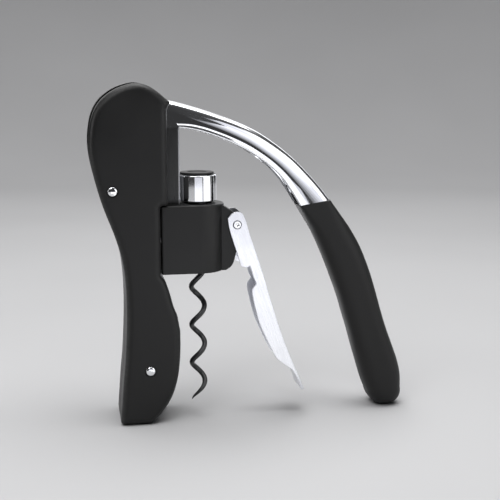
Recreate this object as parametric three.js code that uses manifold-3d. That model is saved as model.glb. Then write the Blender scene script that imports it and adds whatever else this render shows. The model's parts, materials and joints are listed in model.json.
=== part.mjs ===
// A lever corkscrew that stands on its body and on the tip of its lever.
//
// Swinging the lever turns a gear that drives a rack up and down the body. The rack carries a hub,
// and the hub carries the worm, which a helical nut in the collar turns as it travels.
//
// Millimetres. +X runs from the body towards the lever's grip, +Y away from the near side, +Z up.
// Everything is drawn with X = 0 on the worm's axis and Z = 0 on the ground.

import * as THREE from "three";
import { mergeVertices } from "three/addons/utils/BufferGeometryUtils.js";
import Module from "manifold-3d";

const wasm = await Module();
wasm.setup();

// ---------------------------------------------------------------- driving dimensions

const GAP = 0.3; // left between pieces that touch or slide on each other

const BODY_HALF_WIDTH = 17.5;
const BODY_EDGE = 2.6; // rounding of the covers' outer edges
const GROUND_RELIEF = 0.5; // the foot pad stands proud of the covers by this

const GEAR_MODULE = 1.2;
const GEAR_TEETH = 32;
const PITCH_RADIUS = (GEAR_MODULE * GEAR_TEETH) / 2;
const PRESSURE_ANGLE = THREE.MathUtils.degToRad(20);
const BACKLASH = 0.36;
const GEAR_HALF_WIDTH = 3.7;

const RACK_PITCH_X = -13.2; // the rack's pitch line
const PIVOT = { x: RACK_PITCH_X - PITCH_RADIUS, z: 148.5 }; // the lever's axle
const RACK_FRONT_X = -9.2;
const RACK_BOTTOM = 78.3;
const RACK_TOP = 158;

const GUIDE_HALF_WIDTH = 6;
const GUIDE_BACK_X = -17.5;
const GUIDE_FRONT_X = -9.8;

const NECK_CLEARED_TO = 70; // below this the covers are hollowed round the bottle's neck and lip

const CHEEK_INSIDE = 6.6; // the lever arm's two cheeks, measured from the middle plane
const CHEEK_OUTSIDE = 9.2;
const HEAD_SLOT = 9.9; // half the width of the slot that the lever swings in
const HEAD_SLOT_FLOOR = 127;
const STOP_POCKET = { front: -40.2, floor: 122 }; // the slot is deeper here, under the raised lever
const AXLE_RADIUS = 4;

const COLLAR_RADIUS = 13.7;
const COLLAR_BOTTOM = 77.5;
const COLLAR_TOP = 112.5;
const NUT_RADIUS = 7.4;
const NUT_BOTTOM = 92;
const NUT_TOP = 102;

const HUB_RADIUS = 9.9;
const HUB_BOTTOM = 113.5;
const HUB_TOP = 127;

const WORM_PITCH = 20.4;
const WORM_COIL_RADIUS = 3.35; // to the middle of the wire
const WIRE_RADIUS = 1.3;
const WORM_TIP = 7.5;
const WORM_PHASE = WORM_TIP + WORM_PITCH / 2; // a height where the coil is furthest from the body
const WORM_SHOULDER = 106.5;

const CLAMP_PIVOT = { x: 19.5, z: 101.5 };
const CLAMP_HALF_WIDTH = 9;
const CLAMP_SHEET = 1.5;
const LUG_HALF_WIDTH = 7.2;
const LUG_SLOT = 2.5; // half the gap between the lug's two ears, where the spring sits

const GRIP_HALF_WIDTH = 11;
const GRIP_EDGE = 4.5;

const RIVETS = { rivet_upper: [-43.8, 120.7], rivet_lower: [-26.5, 28.6] };

// ---------------------------------------------------------------- materials

const paint = (color, roughness, metalness) => () =>
  new THREE.MeshStandardMaterial({ color, roughness, metalness });

const blackPlastic = paint(0x1b1b1d, 0.55, 0);
const blackRubber = paint(0x161617, 0.8, 0);
const chrome = paint(0xd8dadc, 0.12, 1);
const brightSteel = paint(0xb9bcc0, 0.32, 1);
const darkCoating = paint(0x2a2a2d, 0.38, 0.3);
const bearingPlastic = paint(0xdcd8cc, 0.5, 0);

// ---------------------------------------------------------------- solids

// Turns a closed geometry into a solid that can be cut and joined.
function solid(geometry) {
  const bare = geometry.clone();
  bare.deleteAttribute("normal");
  bare.deleteAttribute("uv");
  const merged = mergeVertices(bare, 1e-4);
  const corners = merged.index.array;
  const kept = [];
  for (let i = 0; i < corners.length; i += 3) {
    const [a, b, c] = [corners[i], corners[i + 1], corners[i + 2]];
    if (a !== b && b !== c && c !== a) kept.push(a, b, c);
  }
  return new wasm.Manifold(
    new wasm.Mesh({
      numProp: 3,
      vertProperties: new Float32Array(merged.attributes.position.array),
      triVerts: new Uint32Array(kept),
    }),
  );
}

function geometryOf(manifold) {
  const mesh = manifold.getMesh();
  const geometry = new THREE.BufferGeometry();
  geometry.setAttribute("position", new THREE.BufferAttribute(mesh.vertProperties, 3));
  geometry.setIndex(new THREE.BufferAttribute(mesh.triVerts, 1));
  geometry.computeVertexNormals();
  return geometry;
}

function cut(base, ...tools) {
  return geometryOf(tools.reduce((body, tool) => body.subtract(solid(tool)), solid(base)));
}

function join(base, ...others) {
  return geometryOf(others.reduce((body, other) => body.add(solid(other)), solid(base)));
}

function common(base, region) {
  return geometryOf(solid(base).intersect(solid(region)));
}

// ---------------------------------------------------------------- shapes

// An outline in X and Z. Each run is a list of points: one point is a straight line to it,
// several are a smooth curve through them.
function outline(start, ...runs) {
  const shape = new THREE.Shape();
  shape.moveTo(...start);
  for (const run of runs) {
    if (run.length === 1) shape.lineTo(...run[0]);
    else shape.splineThru(run.map(([x, z]) => new THREE.Vector2(x, z)));
  }
  return shape;
}

// An outline given thickness along Y, with its long edges rounded by `edge`.
function plate(shape, y0, y1, edge = 0, curveSegments = 2) {
  const geometry = new THREE.ExtrudeGeometry(shape, {
    depth: y1 - y0 - 2 * edge,
    curveSegments,
    bevelEnabled: edge > 0,
    bevelThickness: edge,
    bevelSize: edge,
    bevelOffset: -edge,
    bevelSegments: 2,
  });
  geometry.rotateX(Math.PI / 2);
  geometry.translate(0, y1 - edge, 0);
  return geometry;
}

function block(x0, x1, y0, y1, z0, z1) {
  const geometry = new THREE.BoxGeometry(x1 - x0, y1 - y0, z1 - z0);
  geometry.translate((x0 + x1) / 2, (y0 + y1) / 2, (z0 + z1) / 2);
  return geometry;
}

// A turned piece about the line through `centre` along `axis`. The profile lists [radius, height]
// up the outside and, where the piece has a bore, back down the inside.
function turned(profile, axis, centre, segments = 20) {
  const points = profile.map(([radius, height]) => new THREE.Vector2(radius, height));
  const hasBore = profile.every(([radius]) => radius > 0);
  if (hasBore) points.push(points[0].clone());
  const geometry = new THREE.LatheGeometry(points, segments);
  if (axis === "x") geometry.rotateZ(-Math.PI / 2);
  if (axis === "z") geometry.rotateX(Math.PI / 2);
  geometry.translate(...centre);
  return geometry;
}

function rod(radius, from, to, axis, centre, segments = 20) {
  const profile = [[0, from], [radius, from], [radius, to], [0, to]];
  return turned(profile, axis, centre, segments);
}

function ring(inside, outside, from, to, axis, centre, segments = 20) {
  const profile = [[inside, from], [outside, from], [outside, to], [inside, to]];
  return turned(profile, axis, centre, segments);
}

// A right-handed helix about the Z axis, from one height to another.
class Helix extends THREE.Curve {
  constructor(radius, pitch, from, to, phaseHeight = from) {
    super();
    Object.assign(this, { radius, pitch, from, to, phaseHeight });
  }
  getPoint(t, target = new THREE.Vector3()) {
    const z = this.from + (this.to - this.from) * t;
    const angle = (2 * Math.PI * (z - this.phaseHeight)) / this.pitch;
    return target.set(this.radius * Math.cos(angle), this.radius * Math.sin(angle), z);
  }
}

function wire(curve, radius, steps, sides = 8) {
  const section = new THREE.Shape();
  section.absarc(0, 0, radius, 0, 2 * Math.PI);
  return new THREE.ExtrudeGeometry(section, {
    extrudePath: curve,
    steps,
    curveSegments: Math.ceil(sides / 2),
    bevelEnabled: false,
  });
}

// ---------------------------------------------------------------- housing

function bodyOutline() {
  return outline(
    [-26.5, GROUND_RELIEF],
    [[-20.8, 5.8], [-15.6, 13.8], [-12.4, 24], [-11, 36.6], [-10.9, 48.5]],
    [[-12.4, 56.9]],
    [[-14.2, 61.2]],
    [[-15.3, 65.5], [-16.7, 70.5], [-18.2, 74.8]],
    [[-20.2, 77.2]],
    [[-20.2, COLLAR_TOP + GAP]],
    [[-16.3, COLLAR_TOP + GAP]],
    [[-16.3, 160.5]],
    [[-14.4, 164.2]],
    [[-21.2, 169.2]],
    [[-25.4, 172.4], [-31.5, 173.3], [-38, 171.6], [-48, 165.2], [-53.6, 154], [-54.9, 142.5],
      [-53.3, 130.5], [-48.9, 114], [-42.6, 96.6], [-39, 82], [-37.9, 62], [-38.8, 38], [-40.3, 22]],
    [[-42, GROUND_RELIEF]],
  );
}

function spineOutline(grow = 0) {
  return outline(
    [-23.5 + grow, 4 - grow],
    [[-23.5 + grow, 124 + grow]],
    [[-39.4 - grow, 124 + grow]],
    [[-39 - grow, 104]],
    [[-34.6 - grow, 72]],
    [[-35 - grow, 4 - grow]],
  );
}

const saddleCurve = { inside: 14.6, outside: 16.4, bottom: 27, top: 55 };
const footPad = { x0: -40.4, x1: -27.6, halfWidth: 13, top: 1.9 };
const collarScrew = { y: 11, z: 95, radius: 1.5, headRadius: 2.4, headHeight: 1.8, from: -25, to: -13 };

function collarScrewHoles(radius) {
  const { y, z, from, to } = collarScrew;
  return [-y, y].map((side) => rod(radius, from - 2, to + 1, "x", [0, side, z], 12));
}

function bodyShell() {
  const shell = plate(bodyOutline(), -BODY_HALF_WIDTH, BODY_HALF_WIDTH, BODY_EDGE);
  const { inside, outside, bottom, top } = saddleCurve;
  const { x0, x1, halfWidth } = footPad;
  const rivetHoles = Object.values(RIVETS).flatMap(([x, z]) => [
    rod(1.9, -20, 20, "y", [x, 0, z], 16),
    rod(2.7, -20, -16.6, "y", [x, 0, z], 16),
    rod(2.7, 16.6, 20, "y", [x, 0, z], 16),
  ]);
  return cut(
    shell,
    block(-70, 10, -HEAD_SLOT, HEAD_SLOT, HEAD_SLOT_FLOOR, 180),
    block(-70, STOP_POCKET.front, -HEAD_SLOT, HEAD_SLOT, STOP_POCKET.floor, 130),
    block(-30, 0, -GUIDE_HALF_WIDTH - GAP, GUIDE_HALF_WIDTH + GAP, 79.5, 130),
    plate(spineOutline(0.4), -8.4, 8.4),
    rod(inside + GAP, -1, NECK_CLEARED_TO, "z", [0, 0, 0], 40),
    rod(outside + GAP, bottom - GAP, top + GAP, "z", [0, 0, 0], 40),
    block(x0 - GAP, x1 + GAP, -halfWidth - GAP, halfWidth + GAP, -1, footPad.top + GAP),
    rod(6.3, -15, 15, "y", [PIVOT.x, 0, PIVOT.z]),
    ...collarScrewHoles(1.8),
    ...[-1, 1].map((side) => rod(2.7, -30, -22.5, "x", [0, side * collarScrew.y, collarScrew.z], 12)),
    ...rivetHoles,
  );
}

// A steel channel, open towards the bottle, that runs up inside the covers.
function spine() {
  return cut(
    plate(spineOutline(), -8, 8),
    block(-32.6, -20, -6, 6, 0, 130),
    rod(2.1, -10, 10, "y", [...RIVETS.rivet_lower.slice(0, 1), 0, RIVETS.rivet_lower[1]], 16),
    ...guidePins.map(([x, z]) => rod(1.8, -10, 10, "y", [x, 0, z], 12)),
  );
}

const guidePins = [[-27.5, 91], [-27.5, 105]];

// Two rails for the rack, joined by a web behind it and by a foot that is pinned into the spine.
function slideGuide() {
  const half = GUIDE_HALF_WIDTH;
  const rails = block(GUIDE_BACK_X, GUIDE_FRONT_X, -half, half, RACK_BOTTOM, RACK_TOP);
  const foot = block(-31, GUIDE_BACK_X + 1, -5.7, 5.7, 86, 110);
  return cut(
    join(rails, foot),
    block(-15.6, 0, -4, 4, 70, 170),
    block(-20, -15, -4, 4, 125, 170),
    block(-12, -9.95, -5.1, 5.1, 70, 170),
    ...guidePins.map(([x, z]) => rod(1.8, -10, 10, "y", [x, 0, z], 12)),
  );
}

function neckSaddle() {
  const { inside, outside, bottom, top } = saddleCurve;
  const sleeve = ring(inside, outside, bottom, top, "z", [0, 0, 0], 40);
  return common(sleeve, block(-20, -11.8, -15, 15, 0, 80));
}

function collarBody() {
  const barrel = rod(COLLAR_RADIUS, COLLAR_BOTTOM, COLLAR_TOP, "z", [0, 0, 0], 40);
  const rear = block(-19.9, 0, -COLLAR_RADIUS + 0.02, COLLAR_RADIUS - 0.02, COLLAR_BOTTOM, COLLAR_TOP);
  const lug = plate(
    outline(
      [6, COLLAR_TOP],
      [[12, 111.8]],
      [[18.6, 107.2], [21.3, 104.4], [21.9, 101], [20.8, 95], [19, 86], [17.2, 80.4], [14, 77.8]],
      [[6, COLLAR_BOTTOM]],
    ),
    -LUG_HALF_WIDTH, LUG_HALF_WIDTH,
  );
  const slot = GUIDE_HALF_WIDTH + GAP;
  return cut(
    join(barrel, rear, lug),
    block(-25, -8.7, -slot, slot, 70, 120),
    rod(6.2, 70, 120, "z", [0, 0, 0], 32),
    rod(NUT_RADIUS + GAP, NUT_BOTTOM - GAP, 120, "z", [0, 0, 0], 32),
    rod(12.3, 70, 80.3, "z", [0, 0, 0], 32),
    block(14.6, 30, -LUG_SLOT, LUG_SLOT, 90, 120),
    rod(2.3, -10, 10, "y", [CLAMP_PIVOT.x, 0, CLAMP_PIVOT.z], 16),
    ...collarScrewHoles(1.8),
  );
}

function rimSeat() {
  const seat = ring(6.6, 12, COLLAR_BOTTOM, 80, "z", [0, 0, 0], 32);
  return common(seat, block(-8.4, 20, -20, 20, 70, 90));
}

function wormNut() {
  const blank = rod(NUT_RADIUS, NUT_BOTTOM, NUT_TOP, "z", [0, 0, 0], 32);
  const channel = wire(
    new Helix(WORM_COIL_RADIUS, WORM_PITCH, NUT_BOTTOM - 8, NUT_TOP + 8, WORM_PHASE), WIRE_RADIUS + 0.85, 18);
  return cut(blank, channel);
}

// A countersunk-looking rivet with a flat head at each end, through both covers.
function rivet([x, z]) {
  const head = 17.9;
  const profile = [
    [0, -head], [2.1, -head], [2.4, -head + 0.3], [2.4, -16.9], [1.6, -16.9],
    [1.6, 16.9], [2.4, 16.9], [2.4, head - 0.3], [2.1, head], [0, head],
  ];
  return turned(profile, "y", [x, 0, z], 20);
}

function screw({ y, z, radius, headRadius, headHeight, from, to }, side) {
  const end = from - headHeight;
  const profile = [[0, end], [headRadius, end], [headRadius, from], [radius, from], [radius, to], [0, to]];
  return turned(profile, "x", [0, side * y, z], 16);
}

// A rubber pad in the bottom of the slot that the raised lever comes down on.
function leverStop() {
  const { front, floor } = STOP_POCKET;
  return plate(
    outline(
      [front - 0.4, floor + GAP],
      [[front - 0.4, 126.2]],
      [[-46, 126.2]],
      [[-50.4, 125.7]],
      [[-50.4, floor + GAP]],
    ),
    -HEAD_SLOT + GAP, HEAD_SLOT - GAP,
  );
}

function clampSpring() {
  const turns = 3;
  const halfLength = 1.7;
  const coil = wire(new Helix(2.72, (2 * halfLength) / turns, -halfLength, halfLength), 0.4, turns * 10, 5);
  coil.rotateX(Math.PI / 2);
  coil.translate(CLAMP_PIVOT.x, 0, CLAMP_PIVOT.z);
  return coil;
}

// ---------------------------------------------------------------- lever

function toothHalfAngle(radius) {
  const baseRadius = PITCH_RADIUS * Math.cos(PRESSURE_ANGLE);
  const involute = (angle) => Math.tan(angle) - angle;
  const angle = Math.acos(Math.min(1, baseRadius / Math.max(radius, baseRadius)));
  const thickness = (Math.PI * GEAR_MODULE) / 2 - BACKLASH;
  return thickness / (2 * PITCH_RADIUS) + involute(PRESSURE_ANGLE) - involute(angle);
}

function gearOutline() {
  const shape = new THREE.Shape();
  const radii = [-1.25, 0, 1].map((step) => PITCH_RADIUS + step * GEAR_MODULE);
  const flank = radii.map((radius) => [radius, toothHalfAngle(radius)]);
  const tooth = [...flank.map(([r, a]) => [r, -a]), ...flank.reverse()];
  for (let i = 0; i < GEAR_TEETH; i += 1) {
    const middle = (2 * Math.PI * i) / GEAR_TEETH;
    for (const [radius, angle] of tooth) {
      const place = [
        PIVOT.x + radius * Math.cos(middle + angle),
        PIVOT.z + radius * Math.sin(middle + angle),
      ];
      if (shape.curves.length === 0 && shape.currentPoint.lengthSq() === 0) shape.moveTo(...place);
      else shape.lineTo(...place);
    }
  }
  return shape;
}

const GEAR_BOSS_RADIUS = 12;
const gearPinPlaces = [90, 210, 330].map((degrees) => {
  const angle = THREE.MathUtils.degToRad(degrees);
  return [PIVOT.x + 8.4 * Math.cos(angle), PIVOT.z + 8.4 * Math.sin(angle)];
});

function gearPinHoles() {
  return gearPinPlaces.map(([x, z]) => rod(1.8, -12, 12, "y", [x, 0, z], 12));
}

function driveGear() {
  const boss = CHEEK_INSIDE - GAP;
  return cut(
    join(
      plate(gearOutline(), -GEAR_HALF_WIDTH, GEAR_HALF_WIDTH),
      rod(GEAR_BOSS_RADIUS, -boss, boss, "y", [PIVOT.x, 0, PIVOT.z], 32),
    ),
    rod(AXLE_RADIUS + GAP, -20, 20, "y", [PIVOT.x, 0, PIVOT.z]),
    ...gearPinHoles(),
  );
}

const armTop = [[-12.3, 164.3], [0, 160.9], [20.5, 153.5], [40, 142.3], [55, 129.1], [68.5, 113.4]];
const armBottom = [[43.2, 124.1], [30.5, 135.5], [15.9, 143.6], [-0.5, 149.5], [-9, 151.2]];

// A pressed channel: two cheeks that straddle the gear and the slide guide, a web along the
// outside of the bend, and a tang that the grip is moulded over.
function leverArm() {
  const hub = 13;
  const bend = plate(
    outline(
      [PIVOT.x, PIVOT.z + hub],
      [[-20, 163.6]],
      [[-12.3, 164.3]],
      armTop.slice(1),
      [[52.3, 110.7]],
      armBottom,
      [[-16.5, 150]],
      [[-22.5, 139.8]],
      [[PIVOT.x, PIVOT.z - hub]],
    ),
    -CHEEK_OUTSIDE, CHEEK_OUTSIDE,
  );
  const web = 2;
  const inside = outline(
    [-60, 180],
    [[-14, 180]],
    [[-14, 161.8]],
    [[0, 158.6], [20, 151.2], [38.6, 140.4], [48.5, 131.8]],
    [[40, 118]],
    [[20, 120]],
    [[-60, 120]],
  );
  const tang = plate(
    outline(
      [58, 113],
      [[65, 114]],
      [[75.5, 97], [82.5, 82], [88, 66]],
      [[80, 64]],
      [[74.5, 78.5], [67.5, 93], [56.5, 113.5]],
    ),
    -3, 3,
  );
  return cut(
    join(bend, rod(hub, -CHEEK_OUTSIDE, CHEEK_OUTSIDE, "y", [PIVOT.x, 0, PIVOT.z], 32), tang),
    plate(inside, -CHEEK_INSIDE, CHEEK_INSIDE),
    rod(AXLE_RADIUS + GAP, -20, 20, "y", [PIVOT.x, 0, PIVOT.z]),
    ...gearPinHoles(),
  );
}

function leverGrip() {
  const grip = plate(
    outline(
      [52.1, 110.4],
      [[60.8, 95], [70.8, 71.7], [77.9, 50.8], [83.3, 32.5], [88.8, 16], [91.6, 5.4], [96.2, 0.8], [102, 0]],
      [[106.6, 1.2], [109.4, 5.5], [110.2, 13], [108.8, 26.7], [102.5, 40], [97.5, 55], [91.7, 74],
        [84, 92], [75, 105], [68.8, 113]],
    ),
    -GRIP_HALF_WIDTH, GRIP_HALF_WIDTH, GRIP_EDGE,
  );
  const socket = plate(
    outline(
      [57.6, 120],
      [[66, 120]],
      [[75.9, 97.2], [82.9, 82.2], [88.5, 65.6]],
      [[79.6, 63.6]],
      [[74.1, 78.3], [67.1, 92.8], [55.8, 113.5]],
    ),
    -3.3, 3.3,
  );
  return cut(grip, socket);
}

// ---------------------------------------------------------------- carriage and worm

const hubScrewHeights = { hub_screw_upper: 124, hub_screw_lower: 116.8 };
const hubScrew = { y: 0, radius: 1, headRadius: 1.7, headHeight: 1.2, from: -10.4, to: -7.6 };

function slideRack() {
  const rootX = RACK_PITCH_X + 1.3 * GEAR_MODULE;
  const tipX = RACK_PITCH_X - GEAR_MODULE;
  const spacing = Math.PI * GEAR_MODULE;
  const halfAt = (x) => spacing / 4 + (x - RACK_PITCH_X) * Math.tan(PRESSURE_ANGLE);
  const shape = new THREE.Shape();
  shape.moveTo(RACK_FRONT_X, RACK_BOTTOM);
  shape.lineTo(RACK_FRONT_X, RACK_TOP);
  shape.lineTo(rootX, RACK_TOP);
  const highest = Math.floor((RACK_TOP - PIVOT.z) / spacing - 1);
  const lowest = Math.ceil((RACK_BOTTOM - PIVOT.z) / spacing);
  for (let i = highest; i >= lowest; i -= 1) {
    const middle = PIVOT.z + (i + 0.5) * spacing;
    shape.lineTo(rootX, middle + halfAt(rootX));
    shape.lineTo(tipX, middle + halfAt(tipX));
    shape.lineTo(tipX, middle - halfAt(tipX));
    shape.lineTo(rootX, middle - halfAt(rootX));
  }
  shape.lineTo(rootX, RACK_BOTTOM);
  const { radius, headRadius, from, to } = hubScrew;
  return cut(
    join(
      plate(shape, -GEAR_HALF_WIDTH, GEAR_HALF_WIDTH),
      block(-11.6, -10.3, -4.8, 4.8, RACK_BOTTOM, RACK_TOP),
    ),
    ...Object.values(hubScrewHeights).flatMap((z) => [
      rod(radius + GAP, from - 5, to, "x", [0, 0, z], 12),
      rod(headRadius + GAP, from - 5, from + GAP, "x", [0, 0, z], 12),
    ]),
  );
}

function carriageHub() {
  const barrel = turned(
    [[0, HUB_BOTTOM], [HUB_RADIUS - 0.5, HUB_BOTTOM], [HUB_RADIUS, HUB_BOTTOM + 0.5],
      [HUB_RADIUS, HUB_TOP - 0.5], [HUB_RADIUS - 0.5, HUB_TOP], [0, HUB_TOP]],
    "z", [0, 0, 0], 32,
  );
  const pad = block(-8.9, -5, -3.6, 3.6, HUB_BOTTOM + 0.4, HUB_TOP - 0.4);
  return cut(
    join(barrel, pad),
    block(-12, -8.9, -10, 10, 110, 130),
    rod(7, 115.8, 130, "z", [0, 0, 0], 32),
    rod(3.3, 110, 120, "z", [0, 0, 0], 24),
    ...Object.values(hubScrewHeights).map((z) => rod(hubScrew.radius + GAP, -12, -7.2, "x", [0, 0, z], 12)),
  );
}

function hubCap() {
  return turned(
    [[0, HUB_TOP - 2], [6.7, HUB_TOP - 2], [6.7, HUB_TOP + GAP], [8.7, HUB_TOP + GAP],
      [8.7, HUB_TOP + 0.9], [8.2, HUB_TOP + 1.3], [0, HUB_TOP + 1.3]],
    "z", [0, 0, 0], 32,
  );
}

function worm() {
  const coil = wire(
    new Helix(WORM_COIL_RADIUS, WORM_PITCH, WORM_TIP, WORM_SHOULDER + 1.5, WORM_PHASE), WIRE_RADIUS, 58, 6);
  const shank = turned(
    [[0, WORM_SHOULDER], [4.6, WORM_SHOULDER], [4.6, 113.1], [2.9, 113.1], [2.9, 118.3],
      [6.5, 118.3], [6.5, 121.5], [0, 121.5]],
    "z", [0, 0, 0], 24,
  );
  return join(coil, shank);
}

// ---------------------------------------------------------------- clamp

// A pressed sheet-metal channel that hangs from the collar's lug, with a notch for the bottle's lip.
function neckClamp() {
  const side = outline(
    [14.6, 105],
    [[15.4, 99.6], [17.5, 92.5], [20, 85], [21.5, 79.8]],
    [[24.6, 79]],
    [[26.2, 80.2]],
    [[28.2, 73.3], [29.4, 70.4], [27.4, 67], [28.4, 60], [31.3, 49.2], [35.8, 38.8], [40, 30.2]],
    [[43.3, 27.4], [48.6, 23.4]],
    [[50.4, 20.4], [52.3, 16.4], [53.6, 12.2]],
    [[55.2, 12.4]],
    [[53, 18.4], [49.2, 26.8], [43.3, 42.1], [36.7, 62.5], [32.1, 78.3], [26.7, 94.2], [24.2, 103]],
    [[22.4, 107], [20, 108.1], [16.8, 107.4]],
  );
  const hollow = outline(
    [0, 116],
    [[21.3, 116]],
    [[21.4, 104.6]],
    [[22.8, 102.6], [25.1, 93.6], [30.5, 77.7], [35.1, 62], [41.7, 41.5], [46.6, 28.9]],
    [[40, 20]],
    [[0, 40]],
  );
  const inner = CLAMP_HALF_WIDTH - CLAMP_SHEET;
  return cut(
    plate(side, -CLAMP_HALF_WIDTH, CLAMP_HALF_WIDTH),
    plate(hollow, -inner, inner),
    rod(2.3, -12, 12, "y", [CLAMP_PIVOT.x, 0, CLAMP_PIVOT.z], 16),
  );
}

// ---------------------------------------------------------------- assembly

const corkscrew = new THREE.Group();
corkscrew.position.x = -27.65; // puts the origin under the middle of the whole object

function assembly() {
  const group = new THREE.Group();
  corkscrew.add(group);
  const add = (name, geometry, material) => {
    const mesh = new THREE.Mesh(geometry, material());
    mesh.name = name;
    group.add(mesh);
  };
  return add;
}

const housing = assembly();
const shell = bodyShell();
housing("near_side_cover", common(shell, block(-80, 20, -30, -GAP / 2, -5, 190)), blackPlastic);
housing("far_side_cover", common(shell, block(-80, 20, GAP / 2, 30, -5, 190)), blackPlastic);
housing("spine_channel", spine(), brightSteel);
housing("slide_guide", slideGuide(), brightSteel);
guidePins.forEach(([x, z], i) => {
  housing(`guide_pin_${i + 1}`, rod(1.5, -8, 8, "y", [x, 0, z], 12), brightSteel);
});
housing("neck_saddle", neckSaddle(), blackRubber);
const { x0, x1, halfWidth, top } = footPad;
housing("foot_pad", block(x0, x1, -halfWidth, halfWidth, 0, top), blackRubber);
for (const [name, place] of Object.entries(RIVETS)) housing(name, rivet(place), chrome);
housing("lever_axle", rod(AXLE_RADIUS, -14.6, 14.6, "y", [PIVOT.x, 0, PIVOT.z]), brightSteel);
for (const [name, from, to] of [["axle_bush_near", -14.7, -10.2], ["axle_bush_far", 10.2, 14.7]]) {
  housing(name, ring(AXLE_RADIUS + GAP, 6, from, to, "y", [PIVOT.x, 0, PIVOT.z]), bearingPlastic);
}
housing("lever_stop", leverStop(), blackRubber);
housing("collar", collarBody(), blackPlastic);
housing("collar_screw_near", screw(collarScrew, -1), brightSteel);
housing("collar_screw_far", screw(collarScrew, 1), brightSteel);
housing("rim_seat", rimSeat(), blackRubber);
housing("worm_nut", wormNut(), bearingPlastic);
housing("nut_retaining_ring", ring(5.4, NUT_RADIUS, NUT_TOP + GAP, 104.8, "z", [0, 0, 0], 32), brightSteel);
housing("clamp_pin", rod(2, -9.6, 9.6, "y", [CLAMP_PIVOT.x, 0, CLAMP_PIVOT.z], 16), chrome);
housing("clamp_spring", clampSpring(), brightSteel);

const lever = assembly();
lever("lever_arm", leverArm(), chrome);
lever("lever_grip", leverGrip(), blackRubber);
lever("drive_gear", driveGear(), brightSteel);
gearPinPlaces.forEach(([x, z], i) => {
  lever(`gear_pin_${i + 1}`, rod(1.5, -9, 9, "y", [x, 0, z], 12), brightSteel);
});

const carriage = assembly();
carriage("slide_rack", slideRack(), brightSteel);
carriage("carriage_hub", carriageHub(), chrome);
carriage("hub_cap", hubCap(), blackPlastic);
carriage("thrust_washer", ring(3.3, 6.6, 116.1, 118, "z", [0, 0, 0]), bearingPlastic);
for (const [name, z] of Object.entries(hubScrewHeights)) {
  carriage(name, screw({ ...hubScrew, z }, 1), brightSteel);
}

const spinning = assembly();
spinning("worm", worm(), darkCoating);

const gripping = assembly();
gripping("neck_clamp", neckClamp(), brightSteel);

export default corkscrew;
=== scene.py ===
"""A lever corkscrew standing on its body and the tip of its lever, built round its CAD frame.

Shapes are drawn in millimetres from the worm's axis (x) and the ground (z), y away from the near side,
and placed in the frame's metres by at(). Every moving piece rides on its CAD body.
"""

import json
import math

import bmesh
import bpy
import numpy as np
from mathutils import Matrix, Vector
from mathutils.geometry import delaunay_2d_cdt


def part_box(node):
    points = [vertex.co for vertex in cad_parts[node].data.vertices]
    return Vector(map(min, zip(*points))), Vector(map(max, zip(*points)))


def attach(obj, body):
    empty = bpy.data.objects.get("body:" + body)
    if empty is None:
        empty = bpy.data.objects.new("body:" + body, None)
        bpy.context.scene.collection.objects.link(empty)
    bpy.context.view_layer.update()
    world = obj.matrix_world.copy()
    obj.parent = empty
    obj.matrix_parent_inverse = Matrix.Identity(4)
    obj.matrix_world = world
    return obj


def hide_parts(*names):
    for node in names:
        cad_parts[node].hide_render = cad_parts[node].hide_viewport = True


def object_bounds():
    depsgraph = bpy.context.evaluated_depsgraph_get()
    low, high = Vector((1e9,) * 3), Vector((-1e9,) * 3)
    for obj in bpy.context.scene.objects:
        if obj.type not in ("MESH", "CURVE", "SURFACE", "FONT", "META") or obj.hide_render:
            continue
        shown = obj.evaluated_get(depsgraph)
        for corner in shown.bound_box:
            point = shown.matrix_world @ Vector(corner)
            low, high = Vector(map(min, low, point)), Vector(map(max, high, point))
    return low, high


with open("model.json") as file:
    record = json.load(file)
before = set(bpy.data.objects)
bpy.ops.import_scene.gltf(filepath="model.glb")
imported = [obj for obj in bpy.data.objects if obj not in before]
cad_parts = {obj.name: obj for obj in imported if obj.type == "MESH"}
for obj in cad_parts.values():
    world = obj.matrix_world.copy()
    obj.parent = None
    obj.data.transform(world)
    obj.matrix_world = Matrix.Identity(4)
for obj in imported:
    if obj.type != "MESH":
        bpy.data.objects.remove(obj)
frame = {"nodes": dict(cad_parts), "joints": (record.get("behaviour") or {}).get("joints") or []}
cad_low, cad_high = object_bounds()

# ------------------------------------------------------------------ driving dimensions

MM = 0.001
joints = {joint["name"]: joint for joint in frame["joints"]}
AXIS_X = joints["worm_spin"]["pos_m"][0]


def at(x, y, z):
    """A place drawn in millimetres, in the frame's metres."""
    return Vector((x * MM + AXIS_X, y * MM, z * MM))


def drawn(point):
    """A place in the frame's metres, as it is drawn in millimetres."""
    return ((point[0] - AXIS_X) / MM, point[1] / MM, point[2] / MM)


def drawn_box(node):
    low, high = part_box(node)
    return drawn(low), drawn(high)


PIVOT_X, _, PIVOT_Z = drawn(joints["lever_swing"]["pos_m"])
CLAMP_X, _, CLAMP_Z = drawn(joints["clamp_pivot"]["pos_m"])
GAP = 0.3
BODY_HALF = 17.5
BODY_ROUND = 3.6
SEAM = 0.12
HEAD_SLOT = 9.9
HEAD_FLOOR = 127
STOP_FRONT, STOP_FLOOR = -40.2, 122
GROUND_RELIEF = 0.5
GUIDE_SLOT, PIN_HOLE = 6.3, 2.3
SADDLE_INNER, SADDLE_OUTER = 14.6, 16.4
NECK_CLEARED_TO = 70
COLLAR_RADIUS = 13.7
COLLAR_BOTTOM, COLLAR_TOP = 77.5, 112.5
HUB_RADIUS, HUB_BOTTOM, HUB_TOP, HUB_FLAT = 9.9, 113.5, 127, -8.9
ARM_HALF = 9.2
ARM_SHOULDER, ARM_ROUND, ARM_CROWN = 8.3, 3.6, 0.35
ARM_SHEET, HEM = 1.6, 0.9
CHEEK_RADIUS, CHEEK_INSIDE, CHEEK_HALF = 13, 6.9, 8.15
PLUG_HALF, PLUG_LEAN = 6, (-0.62, 0.78)
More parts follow.
